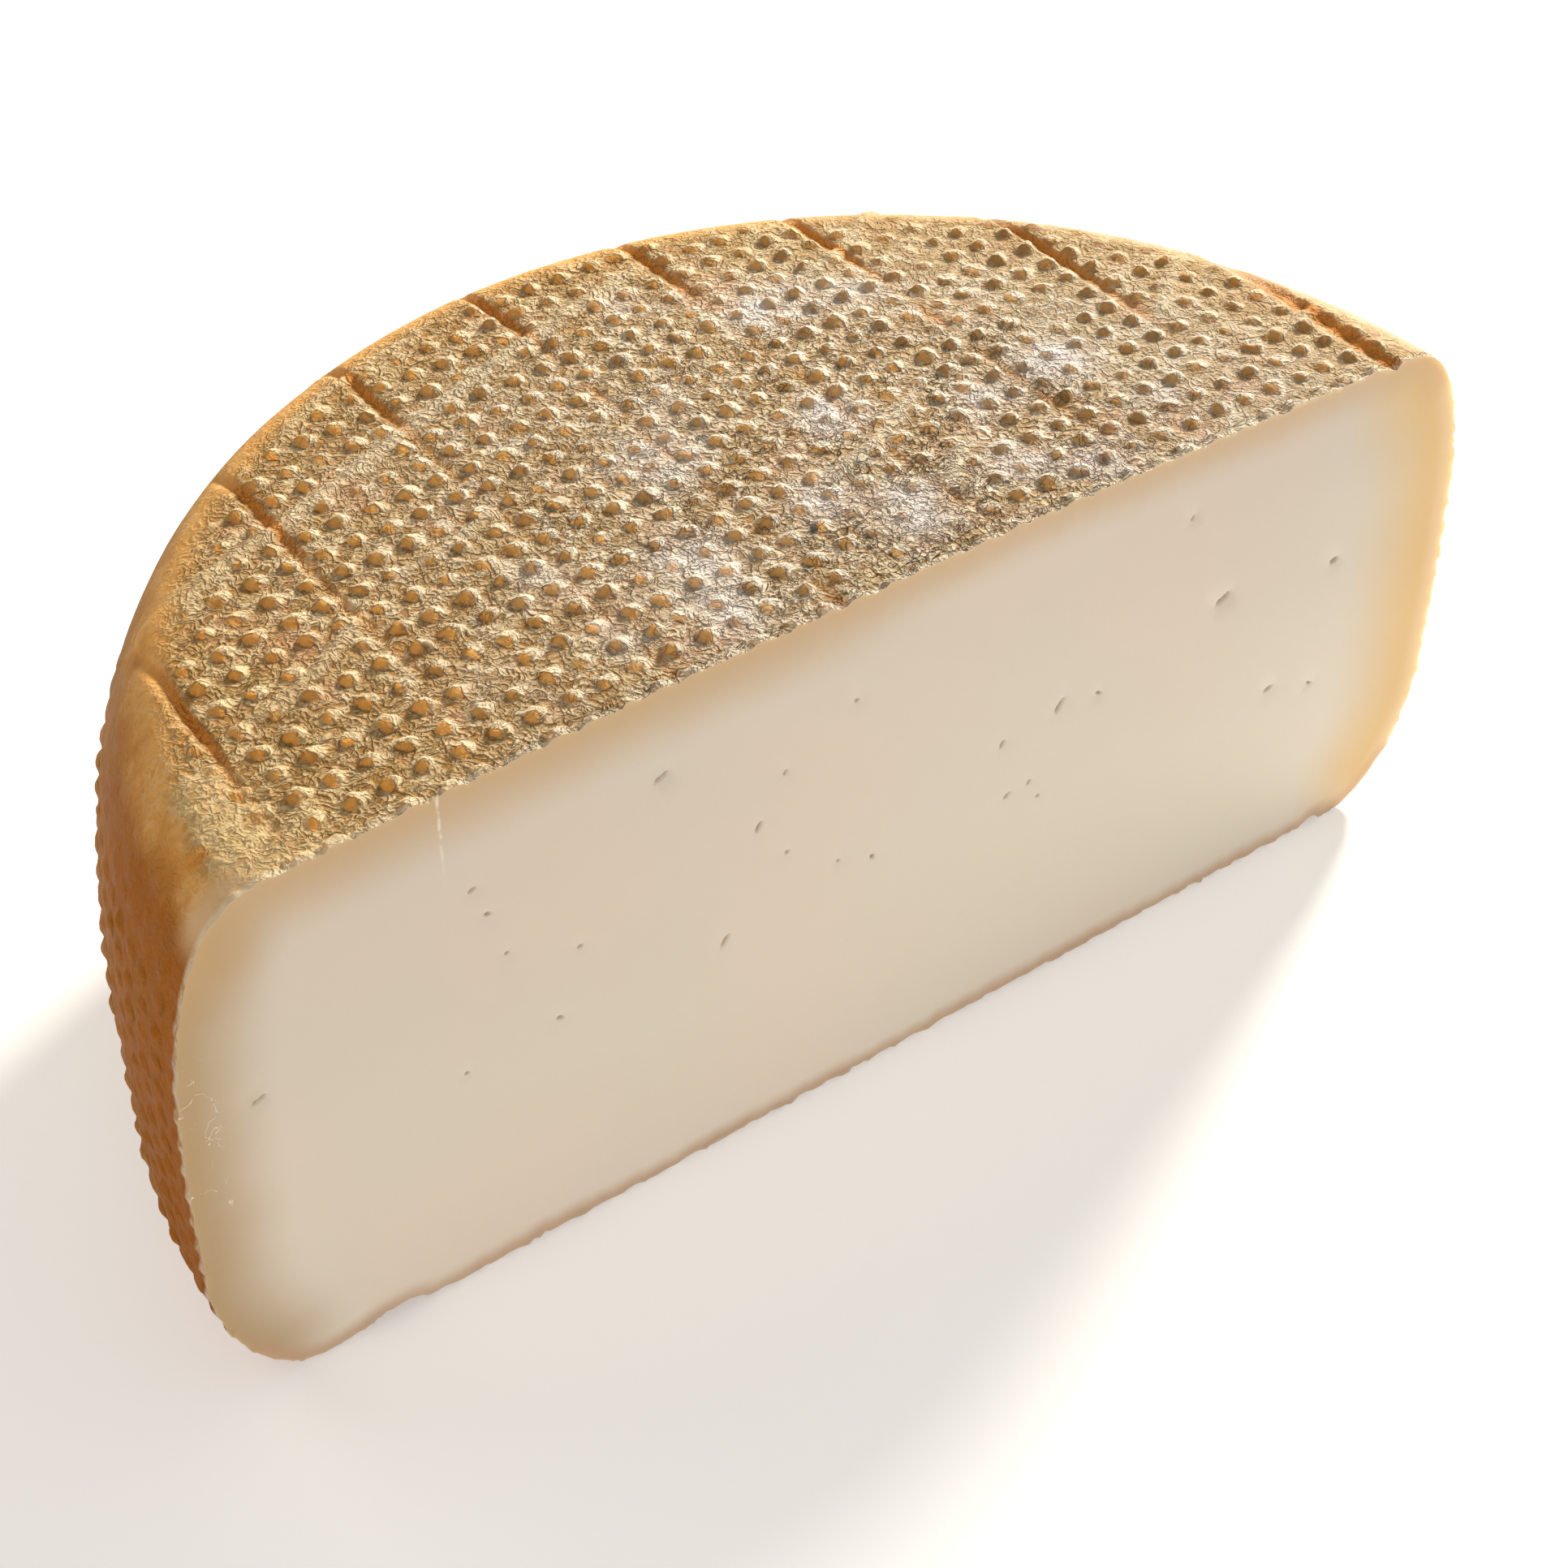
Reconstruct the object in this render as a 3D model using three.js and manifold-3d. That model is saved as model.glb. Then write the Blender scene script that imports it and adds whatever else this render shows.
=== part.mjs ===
// Half of a pressed cheese wheel, cut upright and resting on its base.
// Millimetres, +Z up. The cut face looks along -Y, and the origin is under the middle of the
// bounding box, on the surface that the cheese stands on.
import * as THREE from 'three';
import { mergeVertices } from 'three/addons/utils/BufferGeometryUtils.js';
import Module from 'manifold-3d';

const wasm = await Module();
wasm.setup();

// Driving dimensions of the whole wheel.
const wheelRadius = 120;     // at the widest, low on the side wall
const wheelHeight = 101;     // at the middle of the crowned top
const widestHeight = 27;     // height at which the wall is widest
const topRadius = 99;        // where the top turns over into the shoulder
const crownRise = 2;         // the top's middle above that edge
const baseRadius = 104;      // the flat that the cheese rests on
const shoulderPower = 3.1;   // squareness of the shoulder and the wall above the widest line
const heelPower = 1.75;      // squareness of the rounded corner under the widest line
const cutSetback = 4;        // the knife passes this far behind the wheel's axis

// Facets.
const roundSegments = 96;
const crownSteps = 4;
const shoulderSteps = 14;
const heelSteps = 8;

// A quarter of a superellipse, from its top or bottom (share 0) to its widest point (share 1).
function quarterCurve(share, power) {
  const angle = share * Math.PI / 2;
  return { out: Math.sin(angle) ** (2 / power), along: Math.cos(angle) ** (2 / power) };
}

function crownHeight(radius) {
  return wheelHeight - crownRise * (radius / topRadius) ** 2;
}

// The wheel's half section, from the axis at the base round to the axis at the top.
function sectionProfile() {
  const points = [new THREE.Vector2(0, 0)];
  for (let i = 0; i <= heelSteps; i++) {
    const { out, along } = quarterCurve(i / heelSteps, heelPower);
    const radius = baseRadius + (wheelRadius - baseRadius) * out;
    points.push(new THREE.Vector2(radius, widestHeight * (1 - along)));
  }
  const shoulderRise = crownHeight(topRadius) - widestHeight;
  for (let i = shoulderSteps - 1; i >= 0; i--) {
    const { out, along } = quarterCurve(i / shoulderSteps, shoulderPower);
    const radius = topRadius + (wheelRadius - topRadius) * out;
    points.push(new THREE.Vector2(radius, widestHeight + shoulderRise * along));
  }
  for (let i = crownSteps - 1; i >= 0; i--) {
    const radius = topRadius * i / crownSteps;
    points.push(new THREE.Vector2(radius, crownHeight(radius)));
  }
  return points;
}

function toSolid(geometry) {
  geometry.deleteAttribute('normal');
  geometry.deleteAttribute('uv');
  const merged = mergeVertices(geometry, 1e-4);
  return new wasm.Manifold(new wasm.Mesh({
    numProp: 3,
    vertProperties: new Float32Array(merged.attributes.position.array),
    triVerts: new Uint32Array(merged.index.array),
  }));
}

function toGeometry(solid) {
  const { vertProperties, triVerts } = solid.getMesh();
  const geometry = new THREE.BufferGeometry();
  geometry.setAttribute('position', new THREE.BufferAttribute(vertProperties, 3));
  geometry.setIndex(new THREE.BufferAttribute(triVerts, 1));
  geometry.computeVertexNormals();
  return geometry;
}

// The whole wheel, stood upright on its axis.
function wheelGeometry() {
  return new THREE.LatheGeometry(sectionProfile(), roundSegments).rotateX(Math.PI / 2);
}

// Everything in front of the knife: a block wider, taller and deeper than the wheel.
function knifeGeometry() {
  const size = 3 * wheelRadius;
  return new THREE.BoxGeometry(size, size, size).translate(0, cutSetback - size / 2, 0);
}

const half = toSolid(wheelGeometry()).subtract(toSolid(knifeGeometry()));

const cheeseHalf = new THREE.Mesh(
  toGeometry(half),
  new THREE.MeshStandardMaterial({ color: 0xd9b27c, roughness: 0.75, metalness: 0 }),
);
cheeseHalf.name = 'cheese_half';
cheeseHalf.position.y = -(cutSetback + wheelRadius) / 2;

const group = new THREE.Group();
group.add(cheeseHalf);

export default group;
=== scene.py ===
import math
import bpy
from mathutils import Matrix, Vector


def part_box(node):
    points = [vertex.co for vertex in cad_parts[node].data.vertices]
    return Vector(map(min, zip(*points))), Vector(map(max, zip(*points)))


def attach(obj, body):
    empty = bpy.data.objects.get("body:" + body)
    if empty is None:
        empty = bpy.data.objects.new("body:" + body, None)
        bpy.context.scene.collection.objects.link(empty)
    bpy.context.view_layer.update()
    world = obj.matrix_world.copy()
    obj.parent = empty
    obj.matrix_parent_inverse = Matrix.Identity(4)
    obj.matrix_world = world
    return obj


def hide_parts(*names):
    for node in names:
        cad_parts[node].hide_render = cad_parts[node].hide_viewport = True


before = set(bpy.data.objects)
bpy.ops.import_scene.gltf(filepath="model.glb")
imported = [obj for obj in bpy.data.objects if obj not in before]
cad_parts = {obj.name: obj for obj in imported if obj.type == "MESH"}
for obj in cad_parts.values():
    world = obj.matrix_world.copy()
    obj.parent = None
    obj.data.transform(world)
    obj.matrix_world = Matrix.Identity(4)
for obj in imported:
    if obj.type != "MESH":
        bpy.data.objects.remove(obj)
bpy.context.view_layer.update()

from types import SimpleNamespace

import bmesh
import bpy
import numpy as np
from mathutils import Matrix, Vector
from mathutils.geometry import delaunay_2d_cdt
from mathutils.kdtree import KDTree

mm = 0.001
boxLow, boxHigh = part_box("cheese_half")

# The half wheel's plain form. It repeats the solid it stands for, so its sizes come from that box.
wheel = {
    "radius": 0.120,            # widest, low on the wall
    "height": boxHigh[2],
    "widestHeight": 0.027,
    "topRadius": 0.099,         # where the top turns into the shoulder
    "crownRise": 0.002,
    "baseRadius": 0.104,
    "shoulderPower": 3.1,
    "heelPower": 1.75,
    "cutY": boxLow[1],
    "gridStep": 0.00046,        # spacing of the dense mesh that takes the relief
    "baseGridStep": 0.0011,
    "topReach": 0.0035,         # how far down the shoulder the top's lattice runs
    "baseReach": 0.0022,        # how far up the heel the base's lattice runs
    "baseLift": 0.0005,         # raises the base's ground, so that its knobs stand on the table
    "rindTriangles": 176000,    # what the dense mesh is thinned to
}
axisY = boxHigh[1] - wheel["radius"]
cutSetback = wheel["cutY"] - axisY
flatTop, roundWall, flatBase = 0.0, 20.0, 40.0     # the lattice that a point of the rind belongs to


# Short ways to add nodes, shared by the relief tree and the materials. The ones that take a socket
# add their node to that socket's tree.
def isSocket(value):
    return isinstance(value, bpy.types.NodeSocket)


def addNode(tree, kind, values=None, **settings):
    node = tree.nodes.new(kind)
    for name, value in settings.items():
        setattr(node, name, value)
    for key, value in (values or {}).items():
        if isSocket(value):
            tree.links.new(value, node.inputs[key])
        else:
            node.inputs[key].default_value = value
    return node


def nextNode(kind, values, **settings):
    tree = next(value for value in values.values() if isSocket(value)).id_data
    return addNode(tree, kind, values, **settings)


def mathNode(operation, *values, clamp=False):
    return nextNode("ShaderNodeMath", dict(enumerate(values)), operation=operation,
                    use_clamp=clamp).outputs[0]


def times(*values):
    product = values[0]
    for value in values[1:]:
        plain = not isSocket(product) and not isSocket(value)
        product = product * value if plain else mathNode("MULTIPLY", product, value)
    return product


def timesPlus(a, b, c):
    return mathNode("MULTIPLY_ADD", a, b, c)


def plus(a, b, clamp=False):
    return mathNode("ADD", a, b, clamp=clamp)


def minus(a, b):
    return mathNode("SUBTRACT", a, b)


def over(a, b):
    return mathNode("DIVIDE", a, b)


def larger(a, b):
    return mathNode("MAXIMUM", a, b)


def smaller(a, b):
    return mathNode("MINIMUM", a, b)


def ramp(value, low, high, start=0.0, end=1.0, smooth=True):
    kind = "SMOOTHSTEP" if smooth else "LINEAR"
    values = {"Value": value, "From Min": low, "From Max": high, "To Min": start, "To Max": end}
    return nextNode("ShaderNodeMapRange", values, interpolation_type=kind).outputs[0]


def fade(value, low, high):
    return ramp(value, low, high, 1.0, 0.0)


def parts(vector):
    return nextNode("ShaderNodeSeparateXYZ", {0: vector}).outputs


def joined(x, y, z=0.0):
    return nextNode("ShaderNodeCombineXYZ", {0: x, 1: y, 2: z}).outputs[0]


def vectorMath(operation, values):
    return nextNode("ShaderNodeVectorMath", values, operation=operation).outputs


def scaled(vector, factor):
    return vectorMath("SCALE", {0: vector, "Scale": factor})["Vector"]


def flatLength(x, y):
    return vectorMath("LENGTH", {0: joined(x, y)})["Value"]


def noise(vector, scale, detail=2.0, roughness=0.5, distortion=0.0, output=0):
    values = {"Vector": vector, "Scale": scale, "Detail": detail, "Roughness": roughness,
              "Distortion": distortion}
    return nextNode("ShaderNodeTexNoise", values).outputs[output]


def lines(value, width):
    # Thin lines where a noise crosses its middle.
    return fade(mathNode("ABSOLUTE", minus(value, 0.5)), 0.0, width)


def pick(share, first, second):
    return nextNode("ShaderNodeMix", {0: share, 2: first, 3: second}, data_type="FLOAT").outputs[0]


def blend(share, first, second, kind="MIX"):
    return nextNode("ShaderNodeMix", {0: share, 6: first, 7: second}, data_type="RGBA",
                    blend_type=kind).outputs[2]


def stored(tree, name):
    return addNode(tree, "ShaderNodeAttribute", attribute_name=name).outputs["Fac"]


def crownHeight(radius):
    return wheel["height"] - wheel["crownRise"] * (radius / wheel["topRadius"]) ** 2


def wallProfile(step):
    # From the top's edge over the shoulder, down the wall and round the heel to the base's edge.
    angle = np.linspace(0, math.pi / 2, 400)
    out = np.sin(angle) ** (2 / wheel["shoulderPower"])
    along = np.cos(angle) ** (2 / wheel["shoulderPower"])
    rise = crownHeight(wheel["topRadius"]) - wheel["widestHeight"]
    upperR = wheel["topRadius"] + (wheel["radius"] - wheel["topRadius"]) * out
    upperZ = wheel["widestHeight"] + rise * along
    out = np.cos(angle) ** (2 / wheel["heelPower"])
    along = np.sin(angle) ** (2 / wheel["heelPower"])
    lowerR = wheel["baseRadius"] + (wheel["radius"] - wheel["baseRadius"]) * out
    lowerZ = wheel["widestHeight"] * (1 - along)
    radii = np.r_[upperR, lowerR[1:]]
    heights = np.r_[upperZ, lowerZ[1:]]
    length = np.r_[0, np.cumsum(np.hypot(np.diff(radii), np.diff(heights)))]
    even = np.linspace(0, length[-1], int(length[-1] / step) + 1)
    return np.interp(even, length, radii), np.interp(even, length, heights)


def spread(radius, share):
    # Points of a ring behind the cut plane, in the wheel's own axes, share 0 at +X and 1 at -X.
    start = np.arcsin(np.clip(cutSetback / radius, -1, 1))
    angle = start + share * (math.pi - 2 * start)
    return radius * np.cos(angle), radius * np.sin(angle), angle


# The moulded relief. Lengths are millimetres, in the pattern's own coordinates.
relief = {
    "Knob Spacing Across": 5.64,
    "Knob Spacing Along": 5.36,
    "Knob Start Across": -9.2,
    "Knob Start Along": 1.9,
    "Knob Width": 4.0,
    "Knob Height": 1.35,
    "Knob Jitter": 0.13,
    "Seam Every": 5.0,          # knob columns between two seams of the mould
    "Seam Width": 1.5,
    "Seam Depth": 0.95,
    "Lump Height": 0.5,
    "Crust Height": 0.2,
    "Seed": 7.0,
}

# Folds left by the draining cloth, each from one end to the other on the top, in millimetres
# from the wheel's axis, with its width and height.
clothFolds = [
    ((-97, 59), (20, 96), 1.6, 0.75),
    ((-92, 30), (-62, 43), 1.3, 0.7),
    ((-103, 6), (-86, 13), 1.6, 0.7),
    ((-62, 43), (-34, 55), 1.2, 0.55),
    ((2, 27), (36, 42), 1.3, 0.7),
    ((17, 17), (35, 26), 1.8, 0.7),
    ((73, 35), (97, 48), 1.5, 0.9),
    ((88, 19), (104, 26), 1.3, 0.6),
    ((-58, 88), (-20, 101), 1.3, 0.6),
    ((34, 76), (66, 92), 1.3, 0.6),
]

# Worn places of the top: across and back from the axis, reach, share of the knobs left, more crust.
wornPlaces = [
    (9, 12, 11, 0.45, 1.6),
    (20, 18, 7, 0.3, 1.4),
    (-102, 13, 6, 0.1, 2.0),
    (-101, 24, 5, 0.2, 1.5),
    (-14, 58, 7, 0.35, 0.2),
    (2, 40, 6, 0.5, 0.4),
    (62, 47, 6, 0.4, 0.4),
    (-40, 96, 7, 0.5, 0.2),
]

# Clouds of white mould on the top: across and back from the axis, reach and strength.
bloomPlaces = [
    (27, 74, 9, 0.8), (17, 43, 7, 0.9), (13, 16, 8, 0.9), (32, 17, 6, 0.8), (-22, 24, 9, 0.8),
    (-23, 11, 6, 0.7), (55, 35, 8, 0.8), (43, 9, 6, 0.7), (-42, 34, 6, 0.6), (-11, 48, 9, 0.7),
    (42, 69, 7, 0.6), (38, 33, 6, 0.7), (-2, 60, 6, 0.5), (2, 26, 7, 0.7), (-40, 17, 6, 0.5),
    (8, 88, 6, 0.5), (62, 18, 5, 0.5), (-60, 20, 6, 0.35),
]


def foldHeights(x, y):
    total = np.zeros_like(x)
    for (startX, startY), (endX, endY), width, height in clothFolds:
        along = np.array([endX - startX, endY - startY], float)
        length = np.hypot(*along)
        along /= length
        run = (x - startX) * along[0] + (y - startY) * along[1]
        bend = 1.2 * np.sin(run / length * math.pi * 1.7 + startX)
        off = -(x - startX) * along[1] + (y - startY) * along[0] - bend
        ends = np.clip(run / 6, 0, 1) * np.clip((length - run) / 6, 0, 1)
        total = np.maximum(total, height * ends * np.exp(-((off / width) ** 2)))
    return total


def fillAttribute(mesh, name, values):
    values = np.asarray(values, dtype=np.float32)
    kind = "FLOAT_VECTOR" if values.ndim == 2 else "FLOAT"
    layer = mesh.attributes.new(name, kind, "POINT")
    layer.data.foreach_set("vector" if values.ndim == 2 else "value", values.ravel())


def topPoints(radius, step, share, zone):
    # Columns from the cut line back to the ring of that radius, as a flat lattice.
    edgeX, edgeY, _ = spread(radius, share)
    places, patterns = [], []
    for depth in np.linspace(0, 1, int(radius / step) + 1)[:-1]:
        y = cutSetback + depth * (edgeY - cutSetback)
        height = crownHeight(np.hypot(edgeX, y)) if zone == flatTop else np.zeros_like(y)
        places.append(np.c_[edgeX, y, height])
        patterns.append(np.c_[edgeX / mm, y / mm, np.full_like(y, zone)])
    return places, patterns


def wallPoints(share):
    # Rings down the profile. The wall's pattern runs round the wheel and up it.
    places, patterns = [], []
    edgeHeight = crownHeight(wheel["topRadius"])
    for radius, height in zip(*wallProfile(wheel["gridStep"])):
        x, y, angle = spread(radius, share)
        places.append(np.c_[x, y, np.full_like(x, height)])
        if height > edgeHeight - wheel["topReach"]:
            patterns.append(np.c_[x / mm, y / mm, np.full_like(x, flatTop)])
        elif height < wheel["baseReach"]:
            patterns.append(np.c_[x / mm, y / mm, np.full_like(x, flatBase)])
        else:
            aroundWheel = angle * wheel["radius"] / mm
            patterns.append(np.c_[aroundWheel, np.full_like(x, height / mm), np.full_like(x, roundWall)])
    return places, patterns


def nearness(x, y, placeX, placeY, reach):
    return np.exp(-(((x - placeX) ** 2 + (y - placeY) ** 2) / reach ** 2))


def rindShares(x, y, z, onTop, onWall):
    # How much of the knobs, the crust and the white mould each place has. Knobs cover the faces and
    # the wall, and leave the shoulder and the heel smooth.
    fromAxis = np.hypot(x, y)
    wallShare = np.interp(z, [3, 10, 80, 89], [0, 0.55, 0.55, 0])
    flatShare = np.where(onTop, np.interp(fromAxis, [101, 107], [1, 0]),
                         np.interp(fromAxis, [103, 110], [0.5, 0]))
    knobShare = np.where(onWall, wallShare, flatShare)
    knobShare *= np.where(onTop, np.interp(y, [4, 7.5], [0.45, 1]), 1)
    crustShare = np.where(onTop, np.interp(fromAxis, [100, 110], [1, 0.35]),
                          np.where(onWall, 0.25, 0.5))
    # Ragged along the cut.
    crustShare += np.where(onTop, 2.0 * np.exp(-(((y - cutSetback / mm) / 1.6) ** 2)), 0)
    for placeX, placeY, reach, knobLeft, crustHere in wornPlaces:
        near = nearness(x, y, placeX, placeY, reach) * (z > 60)
        knobShare *= 1 - (1 - knobLeft) * near
        crustShare += crustHere * near
    bloom = np.zeros_like(x)
    for placeX, placeY, reach, whiteness in bloomPlaces:
        bloom += whiteness * nearness(x, y, placeX, placeY, reach) * onTop
    return {"fromAxis": fromAxis, "knobShare": knobShare, "crustShare": crustShare, "bloom": bloom,
            "fold": np.where(onTop, foldHeights(x, y), 0)}


def buildSheet():
    # The rind alone, open at the cut: top, shoulder, wall, heel and base in one dense sheet.
    share = np.linspace(0, 1, int(math.pi * wheel["radius"] / wheel["gridStep"]) + 1)
    top, topPattern = topPoints(wheel["topRadius"], wheel["gridStep"], share, flatTop)
    wall, wallPattern = wallPoints(share)
    base, basePattern = topPoints(wheel["baseRadius"], wheel["baseGridStep"], share, flatBase)
    places = np.array(top + wall + base[::-1])
    pattern = np.concatenate(topPattern + wallPattern + basePattern[::-1])
    rowCount, columnCount = places.shape[:2]
    places = places.reshape(-1, 3)
    index = np.arange(len(places)).reshape(rowCount, columnCount)
    quads = np.stack([index[:-1, :-1], index[1:, :-1], index[1:, 1:], index[:-1, 1:]], -1).reshape(-1, 4)
    x, y, z = places.T / mm
    shares = rindShares(x, y, z, pattern[:, 2] == flatTop, pattern[:, 2] == roundWall)
    # The base is raised a little, and dented at its -X end.
    heelDent = 2.0 * np.exp(-(((x + 91) / 5.5) ** 2)) * np.exp(-(((y - 4) / 22) ** 2))
    places[:, 2] += np.where(pattern[:, 2] == flatBase, heelDent * mm, 0)
    places[:, 2] += np.interp(z, [0, 6], [wheel["baseLift"], 0])

    mesh = bpy.data.meshes.new("rindSheet")
    mesh.vertices.add(len(places))
    mesh.vertices.foreach_set("co", (places + np.array([0, axisY, 0])).ravel())
    mesh.loops.add(quads.size)
    mesh.loops.foreach_set("vertex_index", quads.ravel())
    mesh.polygons.add(len(quads))
    mesh.polygons.foreach_set("loop_start", np.arange(0, quads.size, 4))
    mesh.update(calc_edges=True)
    fillAttribute(mesh, "pattern", pattern)
    for name, values in shares.items():
        fillAttribute(mesh, name, values)
    closed = bmesh.new()
    closed.from_mesh(mesh)
    bmesh.ops.remove_doubles(closed, verts=[v for v in closed.verts if v.is_boundary], dist=1e-6)
    bmesh.ops.dissolve_degenerate(closed, edges=closed.edges, dist=1e-7)
    closed.to_mesh(mesh)
    closed.free()
    mesh.shade_smooth()
    return mesh


def knobField(lattice, knobShare, sizes):
    # The knobs' height at a place of the lattice, and how far across its knob the place lies. The
    # relief and the rind's colour both use it, so they always agree.
    place = parts(lattice)
    across = over(minus(place[0], sizes["Knob Start Across"]), sizes["Knob Spacing Across"])
    along = over(minus(place[1], sizes["Knob Start Along"]), sizes["Knob Spacing Along"])
    cellAcross = mathNode("FLOOR", across)
    cellAlong = mathNode("FLOOR", along)
    cell = joined(cellAcross, cellAlong, plus(place[2], sizes["Seed"]))
    lucks = []
    for shift in ((0.0, 0.0, 0.0), (31.7, 11.3, 5.9)):
        vector = vectorMath("ADD", {0: cell, 1: shift})["Vector"]
        dice = nextNode("ShaderNodeTexWhiteNoise", {"Vector": vector}, noise_dimensions="3D")
        lucks += parts(dice.outputs["Color"])[:]

    def offCentre(position, cellIndex, chance, spacing):
        inCell = minus(minus(position, cellIndex), 0.5)
        stray = times(minus(chance, 0.5), sizes["Knob Jitter"])
        return times(minus(inCell, stray), spacing)

    fromX = offCentre(across, cellAcross, lucks[0], sizes["Knob Spacing Across"])
    fromY = offCentre(along, cellAlong, lucks[1], sizes["Knob Spacing Along"])
    ragged = parts(noise(lattice, 0.55, detail=1.0, output="Color"))
    fromX = timesPlus(minus(ragged[0], 0.5), 1.3, fromX)
    fromY = timesPlus(minus(ragged[1], 0.5), 1.3, fromY)
    reach = times(sizes["Knob Width"], ramp(lucks[2], 0, 1, 0.42, 0.56, smooth=False))
    outward = over(flatLength(times(fromX, 0.93), times(fromY, 1.12)), reach)

    # A dome with a faint moat; some knobs are low, some have sunk in the middle.
    dome = nextNode("ShaderNodeFloatCurve", {"Value": over(outward, 1.5)})
    curve = dome.mapping.curves[0]
    for spot, height in ((0.0, 1.0), (0.15, 0.95), (0.32, 0.74), (0.48, 0.42), (0.6, 0.19),
                         (0.69, 0.08), (0.78, 0.07), (1.0, 0.12)):
        if spot in (0.0, 1.0):
            curve.points[0 if spot == 0.0 else -1].location = (spot, height)
        else:
            curve.points.new(spot, height)
    dome.mapping.update()
    height = minus(dome.outputs[0], 0.12)
    sunk = ramp(lucks[3], 0.86, 0.9)
    crater = times(ramp(outward, 0.0, 0.62, 0.6, 0.0), sunk)
    tall = ramp(lucks[4], 0.0, 1.0, 0.55, 1.12, smooth=False)
    tall = times(tall, ramp(noise(lattice, 0.045, detail=1.0), 0.36, 0.48, 0.7, 1.0))
    tall = times(tall, knobShare)
    height = times(minus(height, crater), tall)
    return {"height": height, "outward": outward, "tall": tall, "lucks": lucks,
            "fromX": over(fromX, reach), "fromY": over(fromY, reach)}


def seamField(lattice, fromAxis, sizes):
    # Seams of the mould cloth across the flat faces: how far across the seam, and how strong it is.
    place = parts(lattice)
    # Both flat lattices lie equally far from the wall's.
    fromWall = mathNode("ABSOLUTE", minus(place[2], roundWall))
    onFlat = mathNode("COMPARE", fromWall, roundWall - flatTop, 1.0)
    # The last seam towards +X lies a little closer than the rest.
    closer = larger(times(minus(place[0], 80.0), 0.2), 0.0)
    # The first, at -X, leans outward towards the cut.
    first = fade(place[0], -90.0, -84.0)
    lean = times(ramp(place[1], 10.0, 50.0, 3.0, 0.0, smooth=False), first)
    across = plus(plus(place[0], closer), lean)
    across = minus(across, sizes["Knob Start Across"])
    across = over(across, sizes["Knob Spacing Across"])
    sway = minus(noise(lattice, 0.035, detail=1.0), 0.5)
    across = timesPlus(sway, 0.14, over(across, sizes["Seam Every"]))
    off = minus(across, mathNode("ROUND", across))
    off = times(off, times(sizes["Seam Every"], sizes["Knob Spacing Across"]))
    # The seam next to the +X rim is the widest; the one at -X dies out before the cut.
    width = timesPlus(ramp(place[0], 84.0, 90.0), 0.8, 1.0)
    off = over(off, times(sizes["Seam Width"], width))
    rimward = ramp(fromAxis, 76.0, 98.0)
    broken = ramp(noise(lattice, 0.1, detail=2.0), 0.42, 0.6, 0.05, 0.4)
    strength = times(larger(rimward, broken), onFlat)
    dying = ramp(place[1], 16.0, 36.0, 0.8, 0.0)
    strength = times(strength, minus(1.0, times(first, dying)))
    return off, times(strength, fade(fromAxis, 106.0, 113.0))


def buildRelief():
    tree = bpy.data.node_groups.new("mouldedRind", "GeometryNodeTree")
    face = tree.interface
    face.new_socket(name="Geometry", in_out="OUTPUT", socket_type="NodeSocketGeometry")
    face.new_socket(name="Geometry", in_out="INPUT", socket_type="NodeSocketGeometry")
    for name, value in relief.items():
        face.new_socket(name=name, in_out="INPUT", socket_type="NodeSocketFloat").default_value = value
    face.new_socket(name="Rind Material", in_out="INPUT", socket_type="NodeSocketMaterial")
    given = tree.nodes.new("NodeGroupInput").outputs

    def onMesh(name, kind="FLOAT"):
        node = addNode(tree, "GeometryNodeInputNamedAttribute", data_type=kind)
        node.inputs["Name"].default_value = name
        return node.outputs[0]

    lattice = onMesh("pattern", "FLOAT_VECTOR")
    inMm = scaled(addNode(tree, "GeometryNodeInputPosition").outputs[0], 1 / mm)
    knobs = knobField(lattice, onMesh("knobShare"), given)
    off, strength = seamField(lattice, onMesh("fromAxis"), given)
    groove = times(fade(off, 0.1, 0.8), ramp(off, -1.6, -0.1), strength)
    lift = times(knobs["height"], given["Knob Height"])
    lift = times(lift, minus(1.0, groove))
    lift = minus(lift, times(groove, given["Seam Depth"]))
    # The ground on the seam's -X side swells towards it.
    bank = times(ramp(off, -2.6, -0.9), fade(off, -0.9, -0.3))
    lift = timesPlus(times(bank, strength), 0.12, lift)

    # Cloth folds flatten the knobs that they cross.
    fold = onMesh("fold")
    lift = times(lift, ramp(fold, 0.05, 0.45, 1.0, 0.35))
    lift = plus(lift, fold)

    # Slow unevenness of the whole wheel, and the dry crust between the knobs.
    lumps = minus(noise(inMm, 0.028, detail=2.0), 0.5)
    lift = timesPlus(lumps, times(given["Lump Height"], 2.0), lift)
    crust = minus(noise(inMm, 0.6, detail=1.5, distortion=0.8), 0.5)
    crust = times(crust, 2.0, onMesh("crustShare"))
    lift = timesPlus(crust, given["Crust Height"], lift)

    offset = scaled(addNode(tree, "GeometryNodeInputNormal").outputs[0], times(lift, mm))
    moved = addNode(tree, "GeometryNodeSetPosition",
                    {"Geometry": given["Geometry"], "Offset": offset}).outputs[0]
    # Knobs of the base are pressed flat where they stand on the table.
    spot = parts(addNode(tree, "GeometryNodeInputPosition").outputs[0])
    spot = joined(spot[0], spot[1], larger(spot[2], 0.0))
    moved = addNode(tree, "GeometryNodeSetPosition", {"Geometry": moved, "Position": spot}).outputs[0]
    real = addNode(tree, "GeometryNodeRealizeInstances", {"Geometry": moved}).outputs[0]
    painted = addNode(tree, "GeometryNodeSetMaterial",
                      {"Geometry": real, "Material": given["Rind Material"]})
    addNode(tree, "NodeGroupOutput", {"Geometry": painted.outputs[0]})
    return tree


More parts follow.
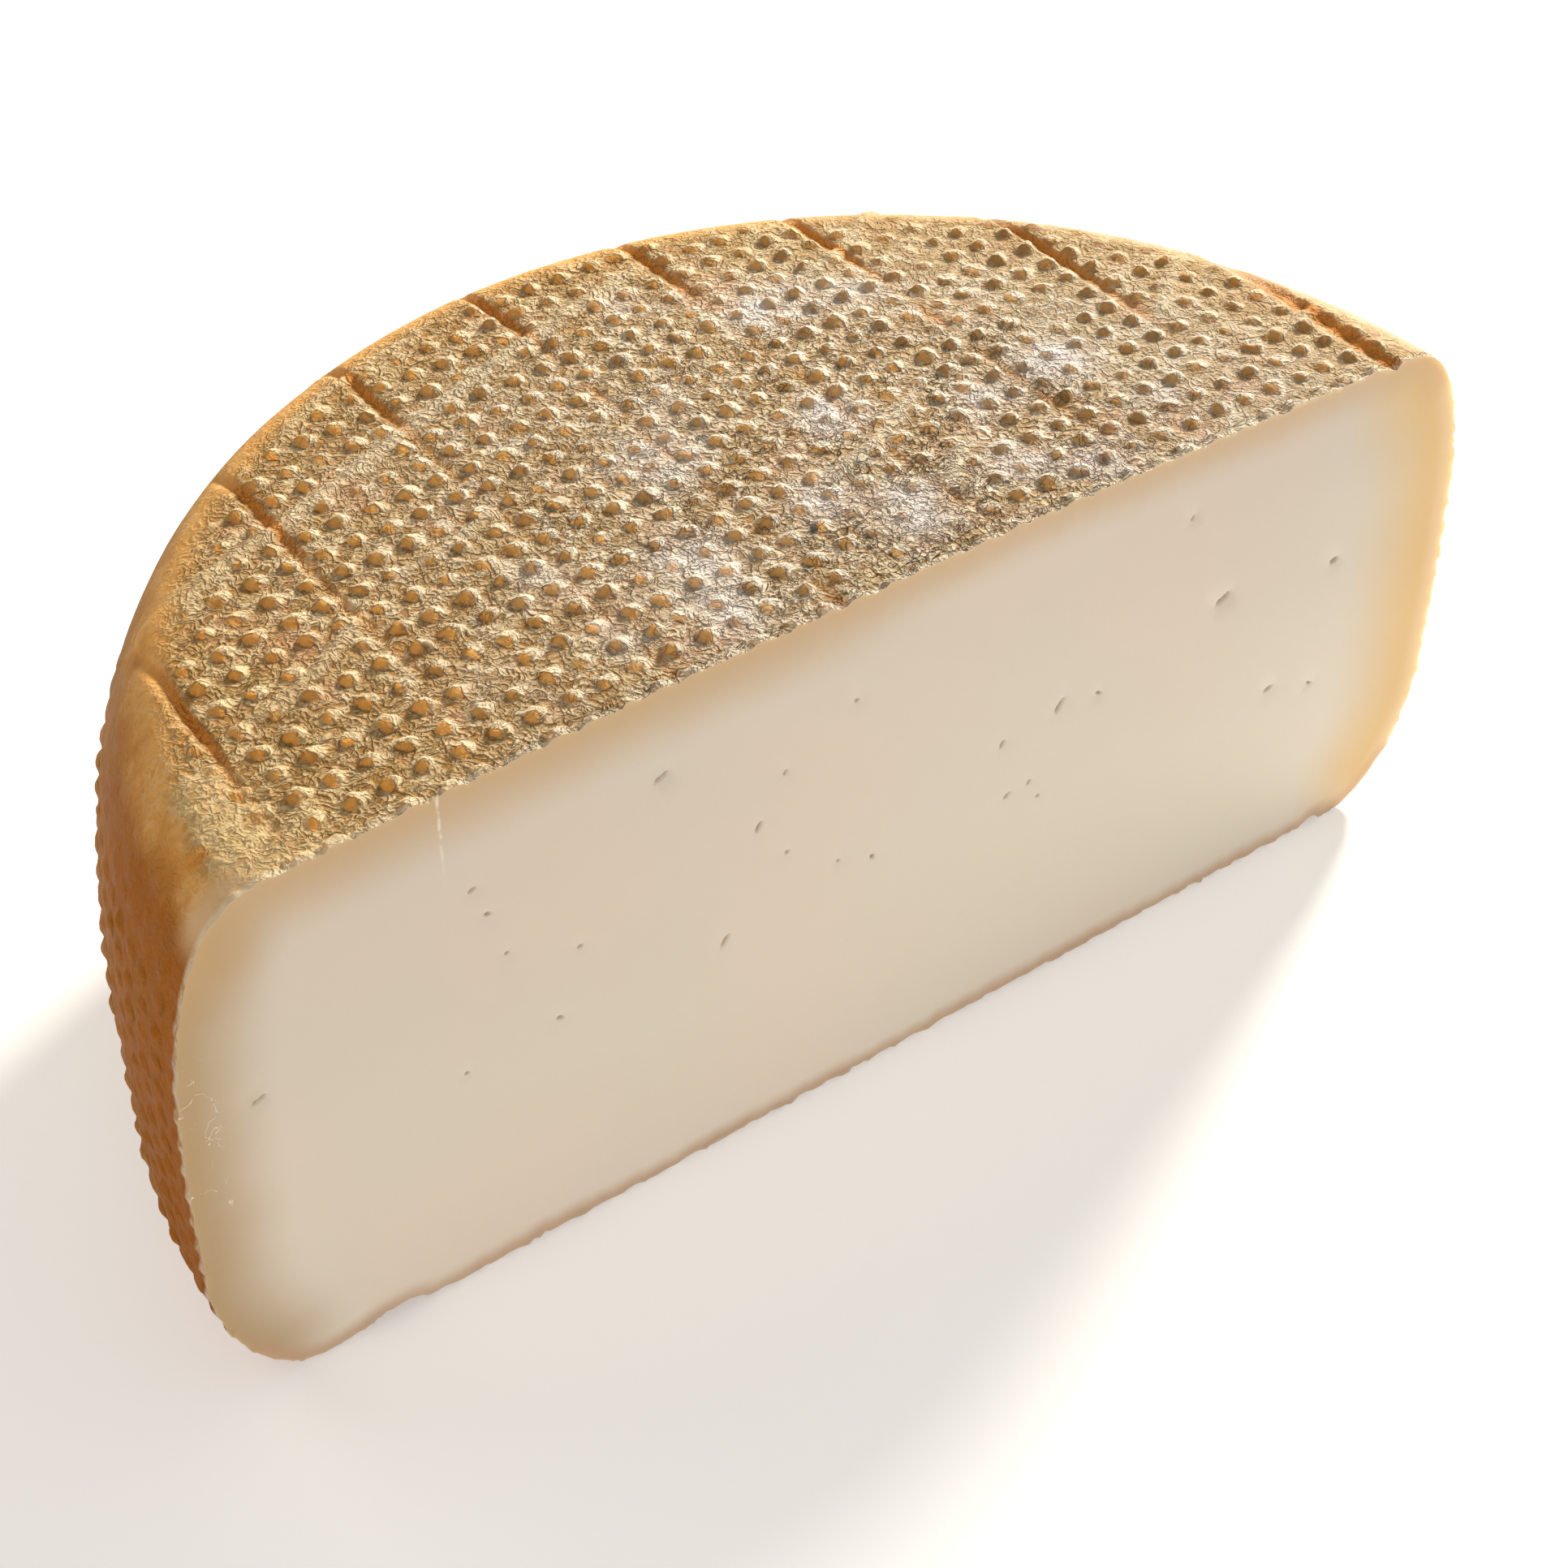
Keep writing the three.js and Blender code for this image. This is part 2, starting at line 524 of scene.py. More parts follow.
def thinRind(material):
    sheet = bpy.data.objects.new("rindSheet", buildSheet())
    bpy.context.collection.objects.link(sheet)
    print("cheese: sheet of", len(sheet.data.vertices), "points")
    tree = buildRelief()
    moulded = sheet.modifiers.new("mouldedRind", "NODES")
    moulded.node_group = tree
    for socket in tree.interface.items_tree:
        if socket.name in relief:
            moulded[socket.identifier] = relief[socket.name]
        elif socket.name == "Rind Material":
            moulded[socket.identifier] = material
    thin = sheet.modifiers.new("thin", "DECIMATE")
    thin.ratio = wheel["rindTriangles"] / (2 * len(sheet.data.polygons))
    result = bpy.data.meshes.new_from_object(sheet.evaluated_get(bpy.context.evaluated_depsgraph_get()))
    bpy.data.objects.remove(sheet)
    places = np.empty(len(result.vertices) * 3)
    result.vertices.foreach_get("co", places)
    places[2::3] = np.maximum(places[2::3], 0)      # thinning overshoots a little
    result.vertices.foreach_set("co", places)
    print("cheese: rind of", len(result.polygons), "faces")
    return result


# Small openings in the paste: along the cut and up it in millimetres, half length, half width and
# slant in degrees.
eyes = [
    (-40.8, 84.6, 1.7, 0.45, 25), (-23.9, 65.7, 1.2, 0.6, 60), (-18.7, 57.7, 0.5, 0.4, 0),
    (-30.1, 45.4, 1.5, 0.6, 55), (-2.3, 47.6, 0.7, 0.5, -40), (22.8, 58.0, 0.9, 0.5, 60),
    (34.3, 60.2, 1.9, 0.65, 55), (42.4, 58.8, 0.7, 0.35, -30), (24.5, 46.2, 0.9, 0.45, 30),
    (29.0, 46.8, 0.6, 0.4, 45), (67.9, 66.3, 2.1, 0.6, 25), (93.1, 62.7, 1.1, 0.6, 10),
    (58.4, 86.7, 0.6, 0.25, 60), (-72.2, 80.3, 0.8, 0.35, 20), (-70.1, 74.4, 0.7, 0.4, -15),
    (-59.6, 46.8, 0.8, 0.45, -20), (-75.6, 45.0, 0.5, 0.35, 0), (-107.4, 60.2, 1.6, 0.4, 20),
    (-55.5, 59.2, 0.6, 0.35, 0), (-6.5, 81.8, 0.5, 0.3, 0), (-19.2, 74.1, 0.6, 0.35, 50),
    (81.9, 40.2, 1.1, 0.45, 15), (92.0, 36.5, 0.8, 0.3, -35), (31.2, 42.6, 0.4, 0.35, 0),
    (-67.5, 65.0, 0.5, 0.3, 0), (-9.0, 50.5, 0.4, 0.3, 0),
]
cutFace = {
    "step": 0.0026,             # spacing of the points well inside the cut
    "eyeDepth": 0.0011,
    "eyeRings": ((0.5, 0.85, 6), (0.95, 0.12, 10), (1.5, 0.0, 10)),     # size, depth share, points
    "knifeWave": 0.00009,
    "lipRag": 0.00025,          # how far the torn rind stands out along the cut
    "topAbove": 0.092,          # the rim counts as the top above this
    "baseBelow": 0.008,         # and as the base below this
    "rimGaps": (0.0005, 0.0012, 0.0024),    # how far inside the rim its three rows of points run
    "gridGap": 0.0034,          # the grid inside them keeps this far from the rim
    "gridHalfLength": 0.1185,
}


def orderedRim(closed):
    # The boundary of the sheet, walked once round.
    start = next(v for v in closed.verts if v.is_boundary)
    rim, previous, here = [start], None, start
    while True:
        onward = [e.other_vert(here) for e in here.link_edges if e.is_boundary]
        step = next(v for v in onward if v is not previous) if previous else onward[0]
        if step is start:
            return rim
        rim.append(step)
        previous, here = here, step


def rimDistance(outline):
    # Gives the way to measure how far a place is from the rim: from any part (0), the top (1), the
    # wall (2) or the base (3).
    count, heights = len(outline), outline[:, 1]
    isTop, isBase = heights > cutFace["topAbove"], heights <= cutFace["baseBelow"]
    trees = []
    for chosen in (np.full(count, True), isTop, ~isTop & ~isBase, isBase):
        picked = np.flatnonzero(chosen)
        near = KDTree(len(picked) * 4)
        for i in picked:
            for quarter in range(4):
                spot = outline[i] + (outline[(i + 1) % count] - outline[i]) * quarter / 4
                near.insert((spot[0], spot[1], 0), i)
        near.balance()
        trees.append(near)
    return lambda x, z, part=0: trees[part].find((x, z, 0))[2]


# The inner points of the cut are pairs: the place, and its share of an eye's depth.
def rimRows(outline, toRim):
    ahead = np.roll(outline, -3, 0) - np.roll(outline, 3, 0)
    inward = np.c_[-ahead[:, 1], ahead[:, 0]] / np.hypot(*ahead.T)[:, None]
    points = []
    for gap in cutFace["rimGaps"]:
        points += [(spot, 0.0) for spot in outline + inward * gap if toRim(*spot) > gap * 0.8]
    return points


def eyePoints():
    points = []
    for x, z, length, width, slant in eyes:
        turn = math.radians(slant)
        points.append(((x * mm, z * mm), 1.0))
        for size, depth, count in cutFace["eyeRings"]:
            for angle in np.arange(count) / count * math.tau:
                along, off = length * size * math.cos(angle), width * size * math.sin(angle)
                points.append((((x + along * math.cos(turn) - off * math.sin(turn)) * mm,
                                (z + along * math.sin(turn) + off * math.cos(turn)) * mm), depth))
    return points


def gridPoints(outline, toRim, draw):
    # A loose grid over the rest of the cut, clear of the rim and the eyes.
    eyeSpots = np.array([(x, z) for x, z, *_ in eyes]) * mm
    eyeReach = np.array([length for _, _, length, *_ in eyes]) * mm
    step, points = cutFace["step"], []
    (left, low), (right, high) = outline.min(0), outline.max(0)
    for row, z in enumerate(np.arange(low, high, step * 0.87)):
        for x in np.arange(left, right, step) + (row % 2) * step / 2:
            x, height = x + draw.uniform(-0.2, 0.2) * step, z + draw.uniform(-0.2, 0.2) * step
            fromEyes = np.hypot(eyeSpots[:, 0] - x, eyeSpots[:, 1] - height)
            nearEye = fromEyes < eyeReach * 1.5 + step * 0.5
            inside = abs(x) < cutFace["gridHalfLength"] and toRim(x, height) > cutFace["gridGap"]
            if inside and not nearEye.any():
                points.append(((x, height), 0.0))
    return points


def fillCut(mesh, paste):
    # Closes the rind with the flat cut face, with its own points for the eyes and the rind's edge.
    draw = np.random.default_rng(11)
    closed = bmesh.new()
    closed.from_mesh(mesh)
    marks = [closed.verts.layers.float.new(name) for name in ("fromTop", "fromWall", "fromBase", "eye")]
    rim = orderedRim(closed)
    outline = np.array([(v.co.x, v.co.z) for v in rim])
    after = np.roll(outline, -1, 0)
    if np.sum(outline[:, 0] * after[:, 1] - after[:, 0] * outline[:, 1]) < 0:
        rim.reverse()
        outline = outline[::-1].copy()
    count = len(rim)
    toRim = rimDistance(outline)
    inner = rimRows(outline, toRim) + eyePoints() + gridPoints(outline, toRim, draw)

    def rindDistances(x, z):
        return [toRim(x, z, part) / mm for part in (1, 2, 3)]

    flat = [Vector(spot) for spot in outline] + [Vector(spot) for spot, _ in inner]
    edges = [(i, (i + 1) % count) for i in range(count)]
    spots, _, faces, origins, _, _ = delaunay_2d_cdt(flat, edges, [list(range(count))], 1, 1e-7)
    wave = np.random.default_rng(3).normal(size=4)
    corners, values = [], {}
    for (x, z), origin in zip(spots, origins):
        source = min(origin) if origin else -1
        if 0 <= source < count:
            corners.append(rim[source])
            continue
        eye = inner[source - count][1] if source >= count else 0.0
        sway = math.sin(z * 190 + wave[0]) * 0.5 + math.sin(x * 70 + z * 240 + wave[1]) * 0.5
        y = wheel["cutY"] + cutFace["knifeWave"] * sway + cutFace["eyeDepth"] * eye
        corner = closed.verts.new((x, y, z))
        corners.append(corner)
        values[corner] = rindDistances(x, z) + [eye]
    for face in faces:
        try:
            made = closed.faces.new([corners[i] for i in face])
        except ValueError:
            continue
        made.material_index = 1
        made.smooth = True
    unused = [corner for corner in values if not corner.link_faces]
    for corner in unused:
        del values[corner]
    print("cheese: cut filled,", len(unused), "points left over")
    bmesh.ops.delete(closed, geom=unused, context="VERTS")
    for v, onward in zip(rim, rim[1:] + rim[:1]):
        closed.edges.get((v, onward)).smooth = False
    for v in rim:
        v.co.y = wheel["cutY"] - cutFace["lipRag"] * max(0.0, draw.normal(0.3, 0.6))
        values[v] = rindDistances(v.co.x, v.co.z) + [0.0]
    for corner, row in values.items():
        for mark, value in zip(marks, row):
            corner[mark] = value
    closed.normal_update()
    bmesh.ops.recalc_face_normals(closed, faces=closed.faces)
    print("cheese: closed,", sum(1 for e in closed.edges if not e.is_manifold), "open edges")
    bmesh.ops.triangulate(closed, faces=[f for f in closed.faces if len(f.verts) > 4])
    closed.to_mesh(mesh)
    closed.free()
    mesh.materials.append(paste)
    return mesh


rindLook = {
    "cream": (0.74, 0.645, 0.48, 1),
    # pale knob caps towards the key light: painted highlight over cream crust
    "cap": (0.84, 0.75, 0.59, 1),
    "tan": (0.56, 0.43, 0.255, 1),
    "gap": (0.38, 0.22, 0.085, 1),
    # painted shade in cracks and at the knobs' creases
    "creviceShade": (0.12, 0.05, 0.012, 1),
    # knob flanks away from the key light: painted shade over their own amber
    "amber": (0.72, 0.34, 0.07, 1),
    "glint": (0.90, 0.53, 0.17, 1),         # painted highlight in the middle of the amber flanks
    "umber": (0.34, 0.175, 0.052, 1),
    "seam": (0.68, 0.28, 0.05, 1),
    "skin": (0.70, 0.47, 0.26, 1),          # bare smooth rind at the torn corner
    "gold": (0.87, 0.44, 0.11, 1),          # the smooth shoulder
    "russet": (0.53, 0.20, 0.025, 1),       # lower down the shoulder
    "honey": (0.335, 0.10, 0.004, 1),       # the wall's -X end, darker where it lies in shade: painted shade over its own amber
    "honeyDark": (0.22, 0.07, 0.006, 1),
    "ochre": (0.45, 0.21, 0.055, 1),        # the rest of the wall, lighter than the honey of its -X end
    "ochreDark": (0.27, 0.115, 0.028, 1),
    "wallCap": (0.62, 0.37, 0.14, 1),
    "bloom": (0.84, 0.80, 0.78, 1),         # white mould
    "slate": (0.20, 0.20, 0.20, 1),         # grey-blue specks
    "rose": (0.70, 0.42, 0.30, 1),
    "paleRim": (0.60, 0.44, 0.27, 1),       # the shoulder towards +X
    "goldTint": (1.0, 0.82, 0.50, 1),       # multiplies the top towards the rim and -X
    "coolShade": (0.83, 0.84, 0.89, 1),      # painted shade: multiplies the top darker and cooler towards +X
    "rightWallShade": (0.60, 0.62, 0.66, 1),       # painted shade: multiplies the wall darker towards +X, where the key light falls
}
rindFinish = {
    "Specular IOR Level": 0.08,
    "Subsurface Weight": 0.1,
    "Subsurface Radius": (1.0, 0.5, 0.2),
    "Subsurface Scale": 0.0015,
}

# Places on the rind, in millimetres from the wheel's axis and up from the table.
rindMarks = {
    "topAbove": 91.0,               # the top's lattice is used above this
    "baseBelow": 3.0,               # and the base's below this
    "crumpleAt": (12.0, 22.0),      # middle of the crumpled place
    "notchAt": (-106.5, 14.0),      # the orange notch of the torn corner
    "shoulder": (102.0, 108.0),     # where the top's crust gives way to the smooth shoulder
}


def rindPlaces(tree):
    # Where a point of the rind lies, and the patterns that several parts of its look share.
    at = SimpleNamespace()
    at.inMm = scaled(addNode(tree, "ShaderNodeTexCoord").outputs["Object"], 1 / mm)
    at.x, y, at.height = parts(at.inMm)[:]
    at.behind = minus(y, axisY / mm)
    at.fromCut = minus(y, wheel["cutY"] / mm)
    at.fromAxis = flatLength(at.x, at.behind)
    around = times(mathNode("ARCTAN2", at.behind, at.x), wheel["radius"] / mm)

    # The same lattice as the relief: flat on the top and base, and rolled round the wall.
    top, base = rindMarks["topAbove"], rindMarks["baseBelow"]
    at.onTop = ramp(at.height, top, top + 0.01, smooth=False)
    onBase = ramp(at.height, base, base + 0.01, 1.0, 0.0, smooth=False)
    at.onFlat = plus(at.onTop, onBase)
    zone = timesPlus(onBase, flatBase, times(minus(1.0, at.onFlat), roundWall))
    lattice = joined(pick(at.onFlat, around, at.x), pick(at.onFlat, at.height, at.behind), zone)
    at.knobs = knobField(lattice, stored(tree, "knobShare"), relief)
    at.off, at.strength = seamField(lattice, at.fromAxis, relief)

    at.crustShare, at.fold, at.bloom = (stored(tree, name) for name in ("crustShare", "fold", "bloom"))
    at.grain = noise(at.inMm, 0.42, detail=3.0, roughness=0.55)
    at.middle = noise(at.inMm, 0.11, detail=3.0)
    at.worms = lines(noise(at.inMm, 0.38, detail=1.0, distortion=1.1), 0.13)
    at.threads = lines(noise(at.inMm, 0.72, detail=1.0, distortion=0.8), 0.13)
    at.ridges = larger(at.worms, times(at.threads, 0.75))
    at.lower = timesPlus(minus(at.middle, 0.5), 8.0, at.height)      # the height, uneven
    crumpleX, crumpleY = rindMarks["crumpleAt"]
    at.fromCrumple = flatLength(minus(at.x, crumpleX), minus(at.behind, crumpleY))
    return at


def knobMarks(at):
    # A knob's amber side away from the key light is painted shade over its own amber, and the dark
    # crease at its foot there is a painted shadow.
    fromX, fromY = at.knobs["fromX"], at.knobs["fromY"]
    # side runs towards the key light on the flat faces, and up the wall.
    side = pick(at.onFlat, fromY, timesPlus(fromX, 0.84, times(fromY, 0.54)))
    acrossSide = pick(at.onFlat, fromX, timesPlus(fromY, 0.84, times(fromX, -0.54)))
    clear = minus(1.0, times(fade(mathNode("ABSOLUTE", at.off), 0.35, 1.0), at.strength))
    standing = times(ramp(at.knobs["tall"], 0.25, 0.65), clear, ramp(at.fold, 0.1, 0.5, 1.0, 0.2))
    # The shaded side narrows towards the knob's top, like an almond.
    narrow = ramp(side, -0.85, 0.0, 1.25, 2.1, smooth=False)
    facet = flatLength(timesPlus(side, 2.45, 1.2), times(acrossSide, narrow))
    at.facet = timesPlus(minus(at.grain, 0.5), 1.1, facet)
    at.flank = times(fade(at.facet, 0.6, 1.12), standing)
    at.foot = times(ramp(at.facet, 0.85, 1.0), fade(at.facet, 1.05, 1.3), fade(side, -0.75, -0.3),
                    standing)
    # The pale cap on the side towards the key light is a painted highlight over cream crust.
    at.cap = times(fade(at.knobs["outward"], 0.68, 0.98), standing, ramp(side, -0.18, 0.05),
                   ramp(at.ridges, 0.1, 0.7, 0.75, 1.0))


def crustMarks(at):
    # A few black cracks where the crust is crumpled, which are painted shade, the torn corner at -X, and
    # a calmer ground towards +X, away from the crumpled place.
    at.rough = ramp(at.crustShare, 0.9, 2.0)
    crumpled = times(ramp(at.middle, 0.44, 0.62, 0.0, 0.9), ramp(at.fromCrumple, 15.0, 75.0, 1.0, 0.25))
    at.cracks = times(lines(noise(at.inMm, 0.36, detail=2.0, distortion=1.3), 0.05),
                      larger(crumpled, times(at.rough, 0.8)), ramp(at.x, -80.0, -50.0))
    at.corner = times(at.rough, fade(at.x, -92.0, -80.0))
    at.calm = times(ramp(at.x, 0.0, 60.0), ramp(at.fromCrumple, 30.0, 60.0))


def topColour(at):
    # Worm-like pale ridges of dry crust over darker gaps.
    gap = blend(ramp(at.grain, 0.34, 0.54, 0.7, 0.0), rindLook["gap"], rindLook["umber"])
    gap = blend(times(at.corner, 0.8), gap, rindLook["tan"])
    gap = blend(times(at.calm, 0.6), gap, rindLook["tan"])
    patches = ramp(noise(at.inMm, 0.2, detail=3.0, roughness=0.6), 0.42, 0.6)
    pale = blend(larger(patches, at.corner), rindLook["tan"], rindLook["cream"])
    colour = blend(times(at.ridges, 0.95), gap, pale)
    rosy = ramp(noise(at.inMm, 0.07, detail=3.0), 0.53, 0.7, 0.0, 0.3)
    colour = blend(rosy, colour, rindLook["rose"])
    # Black cracks: painted shade.
    colour = blend(times(at.cracks, 0.95), colour, rindLook["creviceShade"])

    # Knobs, browner towards +X: flanks away from the key light are painted shade over their own amber,
    # with a painted highlight in their middle; caps towards the light are a painted highlight over cream
    # crust. Folds are pale too.
    browner = plus(ramp(at.knobs["lucks"][5], 0.3, 1.0, 0.0, 0.5), ramp(at.x, -60.0, 60.0, 0.0, 0.6),
                   clamp=True)
    amber = blend(browner, rindLook["amber"], rindLook["umber"])
    lit = times(ramp(at.facet, 0.1, 0.8, 0.5, 0.0), minus(1.0, times(browner, 0.7)))
    amber = blend(lit, amber, rindLook["glint"])
    colour = blend(times(at.flank, 0.86), colour, amber)
    # The dark crease at the foot of the shaded side is a painted shadow.
    colour = blend(times(at.foot, 0.25), colour, rindLook["creviceShade"])
    colour = blend(times(at.cap, 0.9), colour, rindLook["cap"])
    colour = blend(ramp(at.fold, 0.15, 0.6, 0.0, 0.5), colour, rindLook["cream"])

    # White mould in clouds, with grey-blue specks.
    patchy = ramp(noise(at.inMm, 0.13, detail=4.0, roughness=0.6), 0.36, 0.62, 0.4, 1.0)
    clouds = times(ramp(at.bloom, 0.05, 1.0, 0.0, 0.8), patchy, minus(1.0, times(at.flank, 0.6)),
                   ramp(at.grain, 0.3, 0.55, 0.7, 1.0))
    colour = blend(clouds, colour, rindLook["bloom"])
    specks = times(ramp(noise(at.inMm, 0.5, detail=3.0), 0.57, 0.68), at.onTop,
                   ramp(noise(at.inMm, 0.045, detail=2.0), 0.48, 0.62, 0.0, 0.7),
                   fade(at.fromCrumple, 30.0, 90.0))
    colour = blend(specks, colour, rindLook["slate"])

    # Seams are orange-brown inside. The whole top is golden towards the rim and the -X side.
    groove = times(ramp(at.off, -0.8, 0.0), fade(at.off, 0.4, 0.85), at.strength)
    colour = blend(times(groove, 0.9), colour, rindLook["seam"])
    rimward = larger(ramp(at.fromAxis, 72.0, 112.0, 0.0, 0.8), ramp(at.x, -110.0, -15.0, 0.85, 0.05))
    colour = blend(rimward, colour, rindLook["goldTint"], "MULTIPLY")
    # Painted shade: the top darker and cooler towards +X.
    return blend(times(ramp(at.x, 10.0, 80.0), at.onTop), colour, rindLook["coolShade"], "MULTIPLY")


def shoulderColour(at):
    # Smooth gold, paler towards +X and russet lower down.
    shade = blend(times(at.ridges, 0.12), rindLook["gold"], rindLook["cream"])
    shade = blend(ramp(at.x, 10.0, 90.0), shade, rindLook["paleRim"])
    shade = blend(ramp(at.grain, 0.4, 0.6, 0.25, 0.0), shade, rindLook["russet"])
    return blend(ramp(at.lower, 91.0, 98.0, 0.9, 0.0), shade, rindLook["russet"])


def wallColour(at):
    # Honey at the wall's -X end, darker there as painted shade over the rind's own amber, and a lighter
    # ochre with pale mould everywhere else.
    honey = blend(ramp(at.grain, 0.3, 0.5, 0.35, 0.0), rindLook["honey"], rindLook["honeyDark"])
    honey = blend(times(at.threads, 0.12), honey, rindLook["russet"])
    mottle = noise(at.inMm, 0.055, detail=5.0, roughness=0.62)
    ochre = blend(ramp(mottle, 0.4, 0.62, 0.0, 0.85), rindLook["ochre"], rindLook["ochreDark"])
    ochre = blend(times(at.ridges, 0.22), ochre, rindLook["wallCap"])
    outward, tall = at.knobs["outward"], at.knobs["tall"]
    cap = times(fade(outward, 0.2, 0.85), ramp(tall, 0.15, 0.5), ramp(at.grain, 0.35, 0.6, 0.3, 0.8))
    ochre = blend(cap, ochre, rindLook["wallCap"])
    dusty = times(ramp(mottle, 0.48, 0.36), ramp(at.grain, 0.4, 0.6, 0.05, 0.3))
    ochre = blend(dusty, ochre, rindLook["bloom"])
    ochreShare = ramp(timesPlus(minus(mottle, 0.5), 130.0, at.behind), 12.0, 78.0)
    colour = blend(larger(ochreShare, ramp(at.x, -60.0, 20.0)), honey, ochre)
    # Painted shade: the wall darker towards +X.
    colour = blend(ramp(at.x, 10.0, 105.0), colour, rindLook["rightWallShade"], "MULTIPLY")
    # A dark crease at one side of each knob: painted shade.
    crease = times(ramp(outward, 0.7, 0.95), fade(outward, 1.0, 1.25),
                   ramp(at.knobs["fromX"], 0.2, 0.7), ramp(tall, 0.1, 0.4),
                   ramp(at.grain, 0.35, 0.6, 0.1, 0.75), ramp(at.knobs["lucks"][5], 0, 1, 0.3, 1.0))
    return blend(crease, colour, rindLook["creviceShade"])


def buildRind():
    material = bpy.data.materials.new("naturalRind")
    material.use_nodes = True
    tree = material.node_tree
    tree.nodes.clear()
    shader = addNode(tree, "ShaderNodeBsdfPrincipled")
    addNode(tree, "ShaderNodeOutputMaterial", {"Surface": shader.outputs[0]})
    at = rindPlaces(tree)
    knobMarks(at)
    crustMarks(at)
    shoulder = times(ramp(at.fromAxis, *rindMarks["shoulder"]), ramp(at.middle, 0.3, 0.7, 1.0, 0.7),
                     ramp(at.crustShare, 0.9, 1.8, 1.0, 0.1))
    colour = blend(shoulder, topColour(at), shoulderColour(at))
    colour = blend(fade(at.lower, 89.5, 98.0), colour, wallColour(at))

    # The torn corner has a bare strip of skin along the cut and an orange notch. The lip is pale.
    bare = times(fade(at.behind, 6.5, 11.0), fade(at.x, -105.0, -100.5), ramp(at.height, 88.0, 95.0))
    colour = blend(times(bare, 0.85), colour, rindLook["skin"])
    notchX, notchY = rindMarks["notchAt"]
    fromNotch = flatLength(minus(at.x, notchX), minus(at.behind, notchY))
    colour = blend(times(fade(fromNotch, 0.9, 2.4), at.onTop, 0.85), colour, rindLook["seam"])
    lip = times(ramp(at.fromCut, 0.3, 1.3, 0.65, 0.0), ramp(at.grain, 0.35, 0.55, 0.4, 1.0))
    colour = blend(lip, colour, rindLook["cream"])

    # Fine relief, smooth on the flanks and calmer on the caps, the shoulder and the torn corner.
    raised = timesPlus(at.grain, 0.6, timesPlus(at.worms, 0.6, times(at.threads, 0.3)))
    raised = pick(times(at.flank, 0.85), raised, 0.6)
    raised = pick(times(at.cap, 0.45), raised, 0.75)
    raised = minus(raised, larger(times(at.cracks, 0.9), times(at.foot, 0.3)))
    quiet = larger(ramp(at.fromAxis, *rindMarks["shoulder"], 1.0, 0.14), times(at.rough, 0.5))
    quiet = smaller(quiet, ramp(at.corner, 0.0, 1.0, 1.0, 0.45))
    quiet = times(quiet, minus(1.0, times(at.calm, 0.45)), minus(1.0, times(bare, 0.9)))
    raised = times(raised, quiet)
    bump = nextNode("ShaderNodeBump", {"Strength": 1.0, "Distance": 0.0008, "Height": raised})
    tree.links.new(colour, shader.inputs["Base Color"])
    tree.links.new(ramp(at.grain, 0.3, 0.7, 0.55, 0.8, smooth=False), shader.inputs["Roughness"])
    tree.links.new(bump.outputs[0], shader.inputs["Normal"])
    for name, value in rindFinish.items():
        shader.inputs[name].default_value = value
    return material


pasteLook = {
    "heart": (0.775, 0.66, 0.535, 1),
    "pale": (0.745, 0.665, 0.54, 1),
    "leftEdge": (0.46, 0.305, 0.145, 1),
    "paintedGlow": (0.66, 0.425, 0.15, 1),         # painted light shining through the paste inside the +X wall
    "rightEdge": (0.70, 0.53, 0.30, 1),
    "topEdge": (0.53, 0.345, 0.16, 1),
    "baseEdge": (0.52, 0.32, 0.19, 1),
    "nick": (0.95, 0.90, 0.80, 1),
    "eyeShade": (0.40, 0.26, 0.13, 1),          # painted shade inside an eye
    "rightShade": (0.90, 0.90, 0.90, 1),     # painted shade: multiplies the paste darker towards +X
    "topShade": (0.86, 0.85, 0.86, 1),       # painted shade: multiplies it darker towards the top
}
pasteFinish = {
    "Roughness": 0.42,
    "Specular IOR Level": 0.35,
    "Subsurface Weight": 0.3,
    "Subsurface Radius": (1.0, 0.75, 0.45),
    "Subsurface Scale": 0.006,
}


